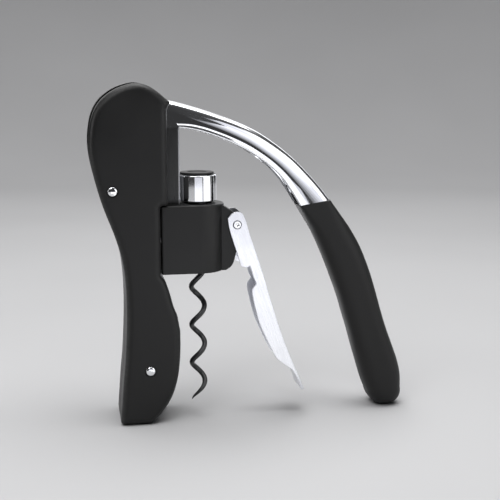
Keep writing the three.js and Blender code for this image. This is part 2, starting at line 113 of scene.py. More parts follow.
GRIP_HALF, GRIP_POWER, GRIP_SQUARER, GRIP_TIP = 11, 2.7, 4.3, 9.25
WORM_PITCH, WORM_COIL, WIRE = 20.4, 3.35, 1.35
WORM_TIP, WORM_SHOULDER = 7.0, 106.5
WORM_CREST = 17.7
CLAMP_HALF, CLAMP_SHEET = 9, 1.5
CLAMP_LEAN = math.radians(20)
LUG_HALF, LUG_SLOT = 7.2, 2.5


def middle_of(node):
    low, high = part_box(node)
    return drawn((low + high) / 2)


RIVETS = {name: middle_of(name) for name in ("rivet_upper", "rivet_lower")}
GEAR_PINS = [middle_of(f"gear_pin_{i}") for i in (1, 2, 3)]


# ------------------------------------------------------------------ curves and outlines

def through(points, steps):
    """A smooth curve through the points, with this many steps in each span. The first is left out."""
    ends = [points[0], *points, points[-1]]
    curve = []
    for i in range(len(points) - 1):
        a, b, c, d = (np.array(p, float) for p in ends[i:i + 4])
        for k in range(1, steps + 1):
            t = k / steps
            bend = (c - a) * 0.5 * t + (2 * a - 5 * b + 4 * c - d) * 0.5 * t * t
            curve.append(tuple(b + bend + (3 * b - 3 * c + d - a) * 0.5 * t ** 3))
    return curve


def outline(start, *runs, steps=6):
    """A closed loop. Each run is a list of points: one is a straight line to it, several a curve."""
    loop = [tuple(map(float, start))]
    for run in runs:
        if len(run) == 1:
            loop.append(tuple(map(float, run[0])))
        else:
            loop += through([loop[-1], *run], steps)
    return loop


def rounded(loop, radius, sharpest=24, steps=5):
    """The loop with each corner that turns more than `sharpest` degrees rounded."""
    out = []
    count = len(loop)
    for i in range(count):
        before, here, after = (np.array(loop[(i + k) % count]) for k in (-1, 0, 1))
        into, away = here - before, after - here
        long_in, long_out = np.linalg.norm(into), np.linalg.norm(away)
        into, away = into / long_in, away / long_out
        turn = math.acos(max(-1, min(1, float(into @ away))))
        if math.degrees(turn) < sharpest:
            out.append(tuple(here))
            continue
        reach = min(radius * math.tan(turn / 2), 0.48 * long_in, 0.48 * long_out)
        first, last = here - into * reach, here + away * reach
        for k in range(steps + 1):
            t = k / steps
            out.append(tuple((1 - t) ** 2 * first + 2 * t * (1 - t) * here + t * t * last))
    return out


def evenly(loop, spacing):
    """The closed loop with points added so that none are further apart than `spacing`."""
    out = []
    for i, here in enumerate(loop):
        here, after = np.array(here), np.array(loop[(i + 1) % len(loop)])
        parts = max(1, math.ceil(np.linalg.norm(after - here) / spacing))
        out += [tuple(here + (after - here) * k / parts) for k in range(parts)]
    return out


def anticlockwise(loop):
    area = sum(a[0] * b[1] - b[0] * a[1] for a, b in zip(loop, loop[1:] + loop[:1]))
    return loop if area > 0 else loop[::-1]


def inward(loop, distance):
    """The anticlockwise loop's points, each moved in by a distance."""
    count = len(loop)
    moved = []
    for i in range(count):
        before, after = np.array(loop[i - 1]), np.array(loop[(i + 1) % count])
        along = after - before
        along = along / np.linalg.norm(along)
        moved.append((loop[i][0] - along[1] * distance, loop[i][1] + along[0] * distance))
    return moved


def depth_inside(points, loop):
    """How far each point is from the loop's nearest edge."""
    points = np.array(points)[:, None, :]
    start = np.array(loop)
    edge = np.roll(start, -1, axis=0) - start
    share = ((points - start) * edge).sum(2) / np.maximum((edge * edge).sum(1), 1e-12)
    nearest = start + np.clip(share, 0, 1)[..., None] * edge
    return np.linalg.norm(points - nearest, axis=2).min(1)


# ------------------------------------------------------------------ meshes

def new_object(name, verts, faces):
    mesh = bpy.data.meshes.new(name)
    mesh.from_pydata([at(*v) for v in verts], [], faces)
    mesh.validate()
    obj = bpy.data.objects.new(name, mesh)
    bpy.context.scene.collection.objects.link(obj)
    outward(mesh)
    return obj


def outward(mesh):
    work = bmesh.new()
    work.from_mesh(mesh)
    bmesh.ops.recalc_face_normals(work, faces=work.faces)
    work.to_mesh(mesh)
    work.free()


def skin(loops, closed=False):
    """A surface through loops of equal length, capped at both ends unless it closes on itself."""
    size = len(loops[0])
    verts = [v for loop in loops for v in loop]
    faces = []
    last = len(loops) if closed else len(loops) - 1
    for i in range(last):
        a, b = i * size, ((i + 1) % len(loops)) * size
        faces += [(a + k, a + (k + 1) % size, b + (k + 1) % size, b + k) for k in range(size)]
    if not closed:
        faces.append(tuple(range(size))[::-1])
        faces.append(tuple(range((len(loops) - 1) * size, len(loops) * size)))
    return verts, faces


def turned(name, profile, axis, centre, segments=64):
    """A turned piece. The profile lists (radius, height); it closes on itself if it leaves a bore."""
    bored = all(radius > 0 for radius, _ in profile)
    loops = []
    for radius, height in profile:
        loop = []
        for k in range(segments):
            angle = 2 * math.pi * k / segments
            across, up = max(radius, 0.02) * math.cos(angle), max(radius, 0.02) * math.sin(angle)
            offset = {"x": (height, across, up), "y": (up, height, across), "z": (across, up, height)}[axis]
            loop.append(tuple(c + o for c, o in zip(centre, offset)))
        loops.append(loop)
    return new_object(name, *skin(loops, closed=bored))


def soft_corners(profile, radius, steps=4):
    """A turned profile with its outer corners rounded."""
    out = []
    for i, here in enumerate(profile):
        if i in (0, len(profile) - 1) or here[0] <= radius:
            out.append(here)
            continue
        before, after = np.array(profile[i - 1]), np.array(profile[i + 1])
        point = np.array(here, float)
        into, away = point - before, after - point
        reach = min(radius, 0.45 * np.linalg.norm(into), 0.45 * np.linalg.norm(away))
        first = point - into / np.linalg.norm(into) * reach
        last = point + away / np.linalg.norm(away) * reach
        for k in range(steps + 1):
            t = k / steps
            out.append(tuple((1 - t) ** 2 * first + 2 * t * (1 - t) * point + t * t * last))
    return out


def prism(name, loop, y0, y1):
    """An outline in x and z with flat sides."""
    loops = [[(x, y, z) for x, z in loop] for y in (y0, y1)]
    return new_object(name, *skin(loops))


def box(name, x0, x1, y0, y1, z0, z1):
    return prism(name, [(x0, z0), (x1, z0), (x1, z1), (x0, z1)], y0, y1)


def rod(name, radius, low, high, axis, centre, segments=48):
    return turned(name, [(0, low), (radius, low), (radius, high), (0, high)], axis, centre, segments)


def crowned(name, loop, flat_y, crown_y, radius):
    """A thick plate, flat at flat_y, whose other side's edges are rounded over to crown_y."""
    loop = anticlockwise(loop)
    reach = [radius * (1 - math.cos(math.pi / 2 * k / 7)) for k in range(1, 8)]
    inner = []
    for distance in reach + [radius * 1.5]:
        ring = inward(loop, distance)
        deep = depth_inside(ring, loop)
        inner += [p for p, d in zip(ring, deep) if d > distance * 0.985]
    points = [Vector(p) for p in loop + inner]
    ring_faces = [list(range(len(loop)))]
    verts, _, faces, *_ = delaunay_2d_cdt(points, [], ring_faces, 1, 1e-5)
    deep = depth_inside([tuple(v) for v in verts], loop)
    side = 1 if crown_y > flat_y else -1
    solid = []
    for vert, depth in zip(verts, deep):
        short = max(0.0, radius - depth)
        drop = radius - math.sqrt(max(0.0, radius * radius - short * short))
        solid.append((vert.x, crown_y - side * drop, vert.y))
    count = len(loop)
    base = len(solid)
    foot = inward(loop, 0.3)
    for ring, y in ((loop, flat_y + side * 0.35), (foot, flat_y)):
        solid += [(x, y, z) for x, z in ring]
    faces = [tuple(f) for f in faces]
    for k in range(count):
        after = (k + 1) % count
        faces.append((k, after, base + after, base + k))
        faces.append((base + k, base + after, base + count + after, base + count + k))
    faces.append(tuple(base + count + k for k in range(count)))
    return new_object(name, solid, faces)


def applied(obj):
    """The object with its modifiers made part of its mesh."""
    graph = bpy.context.evaluated_depsgraph_get()
    mesh = bpy.data.meshes.new_from_object(obj.evaluated_get(graph))
    old = obj.data
    obj.modifiers.clear()
    obj.data = mesh
    mesh.name = obj.name
    bpy.data.meshes.remove(old)
    return obj


def combine(obj, others, operation):
    for other in others:
        modifier = obj.modifiers.new(operation, "BOOLEAN")
        modifier.operation = operation
        modifier.solver = "MANIFOLD"
        modifier.object = other
    applied(obj)
    for other in others:
        bpy.data.objects.remove(other)
    return obj


def cut(obj, *tools):
    return combine(obj, tools, "DIFFERENCE")


def joined(obj, *others):
    return combine(obj, others, "UNION")


def eased(obj, width, segments=2, angle=38):
    """Takes the sharpness off the edges."""
    modifier = obj.modifiers.new("ease", "BEVEL")
    modifier.width = width * MM
    modifier.segments = segments
    modifier.limit_method = "ANGLE"
    modifier.angle_limit = math.radians(angle)
    modifier.miter_outer = "MITER_ARC"
    return applied(obj)


def smooth(obj, angle=32, weighted=True):
    obj.data.shade_smooth()
    obj.data.set_sharp_from_angle(angle=math.radians(angle))
    if weighted:
        modifier = obj.modifiers.new("normals", "WEIGHTED_NORMAL")
        modifier.keep_sharp = True
    return obj


def add(obj, body, slot, material, *nodes, angle=32, weighted=True):
    """Finishes a piece: shading, material, the body that it rides on and the CAD nodes it stands for."""
    smooth(obj, angle, weighted)
    obj.data.materials.clear()
    obj.data.materials.append(material)
    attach(obj, body)
    if nodes:
        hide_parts(*nodes)
    return obj


# ------------------------------------------------------------------ materials

class Shader:
    """A material's nodes, with short calls for the few kinds that are used."""

    def __init__(self, name, **settings):
        self.material = bpy.data.materials.new(name)
        self.material.use_nodes = True
        self.tree = self.material.node_tree
        self.surface = self.tree.nodes["Principled BSDF"]
        for socket, value in settings.items():
            self.surface.inputs[socket.replace("_", " ")].default_value = value
        self.place = self.tree.nodes.new("ShaderNodeTexCoord").outputs["Object"]

    def link(self, source, target):
        self.tree.links.new(source, target)

    def noise(self, scale, detail=3.0, stretch=(1, 1, 1), roughness=0.55, lean=0.0):
        """Noise that can be stretched along an axis; `lean` tips that axis about Y first."""
        turn = self.tree.nodes.new("ShaderNodeVectorRotate")
        turn.rotation_type = "Y_AXIS"
        turn.inputs["Angle"].default_value = lean
        self.link(self.place, turn.inputs["Vector"])
        mapping = self.tree.nodes.new("ShaderNodeMapping")
        mapping.inputs["Scale"].default_value = stretch
        self.link(turn.outputs["Vector"], mapping.inputs["Vector"])
        node = self.tree.nodes.new("ShaderNodeTexNoise")
        node.inputs["Scale"].default_value = scale
        node.inputs["Detail"].default_value = detail
        node.inputs["Roughness"].default_value = roughness
        self.link(mapping.outputs["Vector"], node.inputs["Vector"])
        return node.outputs["Fac"]

    def ranged(self, source, low, high, start=0.3, end=0.7):
        node = self.tree.nodes.new("ShaderNodeMapRange")
        for socket, value in (("From Min", start), ("From Max", end), ("To Min", low), ("To Max", high)):
            node.inputs[socket].default_value = value
        self.link(source, node.inputs["Value"])
        return node.outputs["Result"]

    def ramp(self, source, *stops):
        node = self.tree.nodes.new("ShaderNodeValToRGB")
        ramp = node.color_ramp
        while len(ramp.elements) < len(stops):
            ramp.elements.new(0.5)
        for element, (position, color) in zip(ramp.elements, stops):
            element.position = position
            element.color = (*color, 1)
        self.link(source, node.inputs["Fac"])
        return node.outputs["Color"]

    def edges(self, low, high):
        """How much an edge stands out, from the mesh's own pointiness."""
        node = self.tree.nodes.new("ShaderNodeNewGeometry")
        return self.ranged(node.outputs["Pointiness"], 0, 1, low, high)

    def math(self, operation, *values):
        node = self.tree.nodes.new("ShaderNodeMath")
        node.operation = operation
        for socket, value in zip(node.inputs, values):
            self.link(value, socket)
        return node.outputs["Value"]

    def rounding(self):
        """Where a piece's broad sides, which face along Y, round over into its rim."""
        split = self.tree.nodes.new("ShaderNodeSeparateXYZ")
        self.link(self.tree.nodes.new("ShaderNodeNewGeometry").outputs["Normal"], split.inputs["Vector"])
        across = self.math("ABSOLUTE", split.outputs["Y"])
        return self.ramp(across, (0.25, (0, 0, 0)), (0.62, (1, 1, 1)), (0.94, (0, 0, 0)))

    def mixed(self, share, a, b):
        node = self.tree.nodes.new("ShaderNodeMix")
        node.data_type = "RGBA"
        self.link(share, node.inputs["Factor"])
        for socket, value in (("A", a), ("B", b)):
            target = [s for s in node.inputs if s.name == socket and s.type == "RGBA"][0]
            if isinstance(value, tuple):
                target.default_value = (*value, 1)
            else:
                self.link(value, target)
        return [s for s in node.outputs if s.type == "RGBA"][0]

    def bump(self, source, height, strength=1.0, under=None):
        node = self.tree.nodes.new("ShaderNodeBump")
        node.inputs["Strength"].default_value = strength
        node.inputs["Distance"].default_value = height
        self.link(source, node.inputs["Height"])
        if under is not None:
            self.link(under, node.inputs["Normal"])
        return node.outputs["Normal"]

    def set(self, socket, source):
        self.link(source, self.surface.inputs[socket])


def satin_plastic(name, shade, rough):
    """Black moulded plastic with a fine spark-eroded grain, faint clouds and a rim rubbed a little grey."""
    s = Shader(name, Specular_IOR_Level=0.32)
    clouds = s.noise(28, 4)
    grain = s.noise(2600, 2, roughness=0.6)
    face = s.ramp(clouds, (0.3, (shade * 0.8,) * 3), (0.75, (shade * 1.3,) * 3))
    rubbed = s.math("MULTIPLY", s.rounding(), s.ranged(s.noise(140, 5), 0, 1, 0.35, 0.65))
    s.set("Base Color", s.mixed(rubbed, face, (shade * 2.6,) * 3))
    s.set("Roughness", s.ranged(clouds, rough - 0.05, rough + 0.06))
    s.set("Normal", s.bump(grain, 0.00003, 0.55, under=s.bump(s.noise(420, 2), 0.00002, 0.35)))
    return s.material


def soft_rubber(name, shade, rough=0.66):
    """Matt black rubber with a fine pebbled skin."""
    s = Shader(name, Specular_IOR_Level=0.28, Sheen_Weight=0.03, Sheen_Roughness=0.5)
    clouds = s.noise(35, 5)
    cells = s.tree.nodes.new("ShaderNodeTexVoronoi")
    cells.inputs["Scale"].default_value = 1500
    s.link(s.place, cells.inputs["Vector"])
    s.set("Base Color", s.ramp(clouds, (0.25, (shade * 0.8,) * 3), (0.8, (shade * 1.35,) * 3)))
    s.set("Roughness", s.ranged(clouds, rough - 0.06, rough + 0.08))
    waves = s.bump(s.noise(160, 2), 0.00005, 0.2)
    s.set("Normal", s.bump(cells.outputs["Distance"], 0.00006, 0.5, under=waves))
    return s.material


def polished_chrome(name, tint=(0.86, 0.87, 0.89)):
    """Bright plating, with the faint haze, smudges and hairline polishing marks of handling."""
    s = Shader(name, Metallic=1.0)
    haze = s.noise(60, 5)
    marks = s.noise(900, 2, stretch=(0.08, 1, 0.3))
    s.set("Base Color", s.ramp(haze, (0.2, tuple(c * 0.96 for c in tint)), (0.8, tint)))
    s.set("Roughness", s.ranged(haze, 0.03, 0.08))
    s.set("Normal", s.bump(marks, 0.000004, 0.25, under=s.bump(s.noise(45, 1), 0.00002, 0.08)))
    return s.material


def worked_steel(name, tint, rough, stretch, marks=0.00001, fineness=1400, lean=0.0):
    """Steel with a drawn or ground grain along one direction, and faint darker clouds."""
    s = Shader(name, Metallic=1.0, Anisotropic=0.35)
    grain = s.noise(fineness, 3, stretch=stretch, roughness=0.65, lean=lean)
    clouds = s.noise(40, 4)
    s.set("Base Color", s.mixed(s.ranged(clouds, 0, 1), tuple(c * 0.86 for c in tint), tint))
    s.set("Roughness", s.ranged(grain, rough - 0.06, rough + 0.1))
    s.set("Normal", s.bump(grain, marks, 0.4))
    return s.material


def non_stick(name):
    """Dark, slightly glossy baked coating, worn a little brighter on the outside of the coil."""
    s = Shader(name, Metallic=0.25, Specular_IOR_Level=0.55, Coat_Weight=0.25, Coat_Roughness=0.25)
    speckle = s.noise(1800, 3)
    worn = s.edges(0.53, 0.6)
    dark = s.ramp(speckle, (0.3, (0.012, 0.012, 0.013)), (0.75, (0.032, 0.032, 0.035)))
    s.set("Base Color", s.mixed(worn, dark, (0.06, 0.06, 0.065)))
    s.set("Roughness", s.ranged(speckle, 0.26, 0.42))
    s.set("Normal", s.bump(speckle, 0.00001, 0.35))
    return s.material


def natural_acetal(name):
    s = Shader(name, Subsurface_Weight=0.12, Specular_IOR_Level=0.5)
    clouds = s.noise(50, 3)
    s.set("Base Color", s.ramp(clouds, (0.3, (0.62, 0.6, 0.54)), (0.7, (0.74, 0.72, 0.66))))
    s.set("Roughness", s.ranged(clouds, 0.38, 0.5))
    s.set("Normal", s.bump(s.noise(900, 2), 0.00001, 0.3))
    return s.material


def guide_coating_with_painted_highlight(name):
    """Black coated steel, with a painted highlight along the front edges: a strip there is made bright bare
    metal.
    """
    s = Shader(name)
    fade_from, fade_to = 0.0004, 0.0002
    split = s.tree.nodes.new("ShaderNodeSeparateXYZ")
    s.link(s.place, split.inputs["Vector"])
    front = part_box("slide_guide")[1].x
    # painted highlight: the guide's front strip turns bright and metallic to stand for the light caught on
    # its front edge
    edge = s.ranged(split.outputs["X"], 0, 0.6, front - fade_from, front - fade_to)
    grain = s.noise(1500, 3, stretch=(1, 1, 0.1))
    coating = s.ramp(grain, (0.3, (0.016,) * 3), (0.7, (0.028,) * 3))
    s.set("Base Color", s.mixed(edge, coating, (0.62, 0.63, 0.65)))
    s.set("Metallic", edge)
    s.set("Roughness", s.ranged(grain, 0.26, 0.42))
    s.set("Normal", s.bump(grain, 0.00001, 0.35))
    return s.material


COVER = satin_plastic("cover_black", 0.009, 0.44)
COLLAR = satin_plastic("collar_black", 0.009, 0.38)
GRIP = soft_rubber("grip_rubber", 0.01, 0.5)
PAD = soft_rubber("pad_rubber", 0.01, 0.74)
CHROME = polished_chrome("chrome_plate")
CLAMP = worked_steel("clamp_steel", (0.82, 0.83, 0.87), 0.28, (1, 1, 0.02), 0.000001, 3600, CLAMP_LEAN)
STEEL = worked_steel("machined_steel", (0.55, 0.55, 0.57), 0.34, (0.1, 1, 1))
WORM = non_stick("worm_coating")
ACETAL = natural_acetal("bearing_acetal")
GUIDE = guide_coating_with_painted_highlight("guide_coating_painted_highlight")


# ------------------------------------------------------------------ housing

def body_loop():
    """The body from the side, anticlockwise from its toe."""
    loop = outline(
        (-26.5, GROUND_RELIEF),
        [(-20.8, 5.8), (-15.6, 13.8), (-12.4, 24), (-11, 36.6), (-10.9, 48.5)],
        [(-12.4, 56.9)],
        [(-14.2, 61.2)],
        [(-15.3, 65.5), (-16.7, 70.5), (-18.2, 74.8)],
        [(-20.2, 77.2)],
        [(-20.2, COLLAR_TOP + GAP)],
        [(-16.3, COLLAR_TOP + GAP)],
        [(-16.3, 160.5)],
        [(-14.6, 163.9)],
        [(-17.8, 166.7), (-21.6, 169.8), (-26.2, 172.4), (-31.5, 173.3), (-38, 171.8), (-43.6, 169.1),
         (-48.6, 165), (-52, 159.7), (-54.1, 152.6), (-54.9, 142.5), (-53.3, 130.5), (-48.9, 114),
         (-42.6, 96.6), (-39, 82), (-37.9, 62), (-38.8, 38), (-40.3, 22)],
        [(-42, GROUND_RELIEF)],
    )
    return evenly(rounded(loop, 1.6, sharpest=20), 1.6)


def cover(name, side):
    """One moulded half of the body, hollowed for everything that it holds."""
    shell = crowned(name, body_loop(), side * SEAM, side * BODY_HALF, BODY_ROUND)
    foot_low, foot_high = drawn_box("foot_pad")
    saddle_low, saddle_high = drawn_box("neck_saddle")
    tools = [
        box("head_slot", -70, 10, -HEAD_SLOT, HEAD_SLOT, HEAD_FLOOR, 190),
        box("stop_pocket", -70, STOP_FRONT, -HEAD_SLOT, HEAD_SLOT, STOP_FLOOR, HEAD_FLOOR + 3),
        box("guide_slot", -30, 0, -GUIDE_SLOT, GUIDE_SLOT, 79.5, 130),
        box("pocket", -35.2, -23.1, -8.4, 8.4, 3.6, 124.4),
        rod("neck", SADDLE_INNER + GAP, -1, NECK_CLEARED_TO, "z", (0, 0, 0), 128),
        rod("saddle", SADDLE_OUTER + GAP, saddle_low[2] - GAP, saddle_high[2] + GAP, "z", (0, 0, 0), 128),
        box("foot", foot_low[0] - GAP, foot_high[0] + GAP, -13.3, 13.3, -1, foot_high[2] + GAP),
        rod("bore", 6.3, -15, 15, "y", (PIVOT_X, 0, PIVOT_Z)),
    ]
    hole = [(0, -2), (1.9, -2), (1.9, 16.7), (2.75, 16.7), (3.1, 17.9), (0, 17.9)]
    if side < 0:
        hole = [(radius, -y) for radius, y in hole[::-1]]
    for label, (x, _, z) in RIVETS.items():
        tools.append(turned("hole_" + label, hole, "y", (x, 0, z)))
    return eased(cut(shell, *tools), 0.3, 2, 50)


for cover_name, cover_side in (("near_side_cover", -1), ("far_side_cover", 1)):
    cover_shell = cover(cover_name + "_shell", cover_side)
    add(cover_shell, "housing", "cover_plastic", COVER, cover_name, angle=40)


def rivet(name):
    """A domed rivet head on each side, on one shank."""
    x, _, z = RIVETS[name]
    dome = [(2.35 * math.cos(a), 17.15 + 0.75 * math.sin(a)) for a in np.linspace(0, math.pi / 2 - 0.08, 8)]
    half = [(1.6, 0), (1.6, 16.8), (2.35, 16.8), *dome, (0, 17.92)]
    profile = [(r, -y) for r, y in half[:0:-1]] + half[1:]
    return turned(name + "_domed", profile, "y", (x, 0, z), 40)


for rivet_name in RIVETS:
    add(rivet(rivet_name), "housing", "chrome", CHROME, rivet_name, angle=50)


def collar():
    """The barrel that drops over the bottle's mouth, its rear block and the lug for the clamp."""
    front = [(COLLAR_RADIUS * math.cos(a), COLLAR_RADIUS * math.sin(a))
             for a in np.linspace(-math.pi / 2, math.pi / 2, 73)]
    back = -19.9
    plan = anticlockwise(rounded([*front, (back, COLLAR_RADIUS), (back, -COLLAR_RADIUS)], 1.2))
    levels = [[(x, y, z) for x, y in plan] for z in (COLLAR_BOTTOM, COLLAR_TOP)]
    body = new_object("collar_body", *skin(levels))
    eased(body, 0.9, 4, 50)
    lug = prism("lug", rounded(outline(
        (6, COLLAR_TOP - 0.15),
        [(12, COLLAR_TOP - 0.8)],
        [(18.6, 107.2), (21.3, 104.4), (21.9, 101), (20.8, 95), (19, 86), (17.2, 80.4), (14, 77.8)],
        [(6, COLLAR_BOTTOM + 0.1)],
    ), 0.6), -LUG_HALF, LUG_HALF)
    eased(lug, 0.8, 3, 50)
    joined(body, lug)
    cut(
        body,
        box("guide", -25, -8.7, -GUIDE_SLOT, GUIDE_SLOT, 70, 120),
        rod("bore", 6.2, 70, 120, "z", (0, 0, 0), 96),
        rod("nut_seat", 7.7, 91.7, 120, "z", (0, 0, 0), 96),
        rod("rim_recess", 12.3, 70, 80.3, "z", (0, 0, 0), 96),
        box("ears", 14.6, 30, -LUG_SLOT, LUG_SLOT, 90, 120),
        rod("pin_hole", PIN_HOLE, -10, 10, "y", (CLAMP_X, 0, CLAMP_Z)),
        *[rod("screw_hole", 1.8, -30, -12, "x", (0, y, 95)) for y in (-11, 11)],
    )
    return eased(body, 0.25, 2, 50)


add(collar(), "housing", "collar_plastic", COLLAR, "collar", angle=35)


# ------------------------------------------------------------------ lever

ARM_TOP = [(-18.6, 165.3), (-12.3, 164.3), (0, 160.9), (10.6, 157.3), (20.5, 153.5), (30.6, 148.6),
           (40, 142.3), (48.2, 135.7), (55, 129.1), (62.4, 121), (68.6, 113.2)]
ARM_BOTTOM = [(-9.4, 150.9), (-6.4, 150.6), (-1.5, 149.6), (5, 147.8), (14.4, 144.2), (23.4, 139.9),
              (31, 135.2), (37.4, 130.3), (43.2, 124.4), (48, 117.6), (52.3, 110.6)]


def arm_side(depth):
    """One side of the pressed channel, from the top's middle to the hem: pairs of (half width, depth)."""
    top = [(w, ARM_CROWN * (w / ARM_SHOULDER) ** 2) for w in np.linspace(0, ARM_SHOULDER - ARM_ROUND, 5)]
    low = ARM_CROWN * (1 - ARM_ROUND / ARM_SHOULDER) ** 2 + ARM_ROUND
    bend = [(ARM_SHOULDER - ARM_ROUND * (1 - math.sin(a)), low - ARM_ROUND * math.cos(a))
            for a in np.linspace(0, math.pi / 2, 9)[1:]]
    flare = ARM_HALF - 0.25 - ARM_SHOULDER
    drop = depth - 2.6 - low
    flat = [(ARM_SHOULDER + flare * (2 * t - t * t), low + drop * t) for t in np.linspace(0, 1, 9)[1:]]
    hem = [(ARM_HALF - HEM + HEM * math.cos(a), depth - HEM - HEM * math.sin(a))
           for a in np.linspace(math.radians(35), math.radians(-90), 9)]
    return top + bend + flat + [(ARM_HALF - 0.36, depth - 1.95)] + hem


def arm_section(top, bottom):
    """The pressed channel's section at one station, from its top edge point to its bottom one."""
    top, bottom = np.array(top), np.array(bottom)
    depth = np.linalg.norm(bottom - top)
    down = (bottom - top) / depth
    outer = arm_side(depth)
    bend_end = ARM_ROUND + ARM_CROWN
    inner = [(ARM_HALF - 2 * HEM, depth - HEM), (ARM_SHOULDER - ARM_SHEET, bend_end)]
    inner += [(ARM_SHOULDER - ARM_ROUND + (ARM_ROUND - ARM_SHEET) * math.sin(a),
               bend_end - (ARM_ROUND - ARM_SHEET) * math.cos(a)) for a in np.linspace(1.2, 0, 5)]
    half = outer + inner
    loop = half + [(0, ARM_SHEET + 0.1)] + [(-w, d) for w, d in half[:0:-1]]
    return [(*(top + down * d)[:1], w, (top + down * d)[1]) for w, d in loop]


def lever_arm():
    """The pressed channel, with a cheek on each side of the gear."""
    steps = 8
    tops = [ARM_TOP[0], *through(ARM_TOP, steps)]
    bottoms = [ARM_BOTTOM[0], *through(ARM_BOTTOM, steps)]
    arm = new_object("lever_arm_channel", *skin([arm_section(t, b) for t, b in zip(tops, bottoms)]))
    around = [(PIVOT_X + CHEEK_RADIUS * math.cos(a), PIVOT_Z + CHEEK_RADIUS * math.sin(a))
              for a in np.linspace(math.radians(62), math.radians(318), 64)]
    root = [(-17.2, 151), (-8.6, 151.2), (-7.8, 158.4), (-13, 161.2), (-17.8, 162.2)]
    cheek = rounded([*around, *root], 0.8)
    sides = [sorted((side * CHEEK_INSIDE, side * CHEEK_HALF)) for side in (-1, 1)]
    joined(arm, *[prism("cheek", cheek, *side) for side in sides])
    return cut(
        arm,
        rod("gear_room", 21.2, -6.6, 6.6, "y", (PIVOT_X, 0, PIVOT_Z), 96),
        rod("bore", 4.3, -20, 20, "y", (PIVOT_X, 0, PIVOT_Z)),
        *[rod("pin", 1.8, -12, 12, "y", pin) for pin in GEAR_PINS],
    )


add(lever_arm(), "lever", "chrome", CHROME, "lever_arm", angle=28)

GRIP_INNER = [(52.1, 110.4), (56.6, 102.7), (60.8, 95), (66.2, 83.2), (70.8, 71.7), (74.7, 61.2),
              (77.9, 50.8), (80.8, 41.4), (83.3, 32.5), (86, 23.6), (88.6, 15), (91.2, 8.4)]
GRIP_OUTER = [(68.9, 113), (75, 105), (80.2, 98), (86, 88), (91.2, 75.5), (95, 63.8), (98.3, 52.6),
              (101.6, 42.4), (105, 33.4), (108, 25), (109.8, 17.2), (110, 9.9)]


def grip_section(inner, outer, half, power=GRIP_POWER, count=48):
    """A rounded section between the grip's inner and outer edges."""
    inner, outer = np.array(inner), np.array(outer)
    middle, reach = (inner + outer) / 2, (outer - inner) / 2
    loop = []
    for k in range(count):
        angle = 2 * math.pi * k / count
        c, s = math.cos(angle), math.sin(angle)
        along = math.copysign(abs(c) ** (2 / power), c)
        across = math.copysign(abs(s) ** (2 / power), s)
        x, z = middle + reach * along
        loop.append((x, half * across, z))
    return loop


def lever_grip():
    """The moulded grip, squarer where it meets the arm, with a plug that goes into the arm's end."""
    steps = 6
    inners = [GRIP_INNER[0], *through(GRIP_INNER, steps)]
    outers = [GRIP_OUTER[0], *through(GRIP_OUTER, steps)]
    total = len(inners) - 1
    start_half = ARM_HALF + 0.25
    loops = []
    for i, (inner, outer) in enumerate(zip(inners, outers)):
        share = i / total
        half = start_half + (GRIP_HALF - start_half) * math.sin(min(1, share * 2.2) * math.pi / 2)
        power = GRIP_POWER + GRIP_SQUARER * max(0, 1 - share * 5) ** 2
        loops.append(grip_section(inner, outer, half, power))
    # the rounded tip: sections that shrink towards a point past the last station
    last_in, last_out = np.array(inners[-1]), np.array(outers[-1])
    middle, reach = (last_in + last_out) / 2, (last_out - last_in) / 2
    ahead = (last_in - inners[-2]) + (last_out - outers[-2])
    ahead = ahead / np.linalg.norm(ahead)
    for a in np.linspace(0, math.pi / 2, 12)[1:]:
        size = max(0.04, math.cos(a) ** 0.8)
        centre = middle + ahead * GRIP_TIP * math.sin(a)
        loops.append(grip_section(centre - reach * size, centre + reach * size, GRIP_HALF * size))
    # a plug that fills the end of the arm's channel
    start_in, start_out = np.array(inners[0]), np.array(outers[0])
    plug = []
    for travel, shrink in ((9, 0.68), (0.5, 0.72)):
        centre = (start_in + start_out) / 2 + np.array(PLUG_LEAN) * travel
        half_span = (start_out - start_in) / 2 * shrink
        plug.append(grip_section(centre - half_span, centre + half_span, PLUG_HALF))
    edge_in = start_in * 0.98 + start_out * 0.02
    edge_out = start_out * 0.98 + start_in * 0.02
    start_ring = grip_section(edge_in, edge_out, ARM_HALF - 0.1, GRIP_POWER + GRIP_SQUARER)
    return new_object("lever_grip_moulded", *skin([*plug, start_ring, *loops]))


add(lever_grip(), "lever", "grip_rubber", GRIP, "lever_grip", angle=50, weighted=False)


# ------------------------------------------------------------------ carriage and worm

def hub():
    """The chrome barrel above the worm, flat where it is screwed to the rack."""
    corners = [(0, HUB_BOTTOM), (HUB_RADIUS, HUB_BOTTOM), (HUB_RADIUS, HUB_TOP), (0, HUB_TOP)]
    barrel = turned("hub_barrel", soft_corners(corners, 0.7, 6), "z", (0, 0, 0), 96)
    joined(barrel, box("pad", HUB_FLAT, -4, -3.6, 3.6, HUB_BOTTOM + 0.6, HUB_TOP - 0.6))
    cut(
        barrel,
        box("flat", -14, HUB_FLAT, -12, 12, 105, 135),
        rod("bore", 7, 115.8, 140, "z", (0, 0, 0), 96),
        rod("journal", 3.3, 105, 120, "z", (0, 0, 0), 64),
    )
    return eased(barrel, 0.18, 2, 50)


add(hub(), "carriage", "chrome", CHROME, "carriage_hub", angle=30)


def hub_cap():
    """A plug with a flange on the hub's top and a shallow dish in it."""
    corners = [(0, HUB_TOP - 2), (6.7, HUB_TOP - 2), (6.7, HUB_TOP + GAP), (8.7, HUB_TOP + GAP),
               (8.7, HUB_TOP + 1.3), (5.2, HUB_TOP + 1.3), (4.9, HUB_TOP + 0.9), (0, HUB_TOP + 0.9)]
    return turned("hub_cap_turned", soft_corners(corners, 0.4, 4), "z", (0, 0, 0), 72)


add(hub_cap(), "carriage", "cover_plastic", COVER, "hub_cap", angle=40)


# ------------------------------------------------------------------ clamp

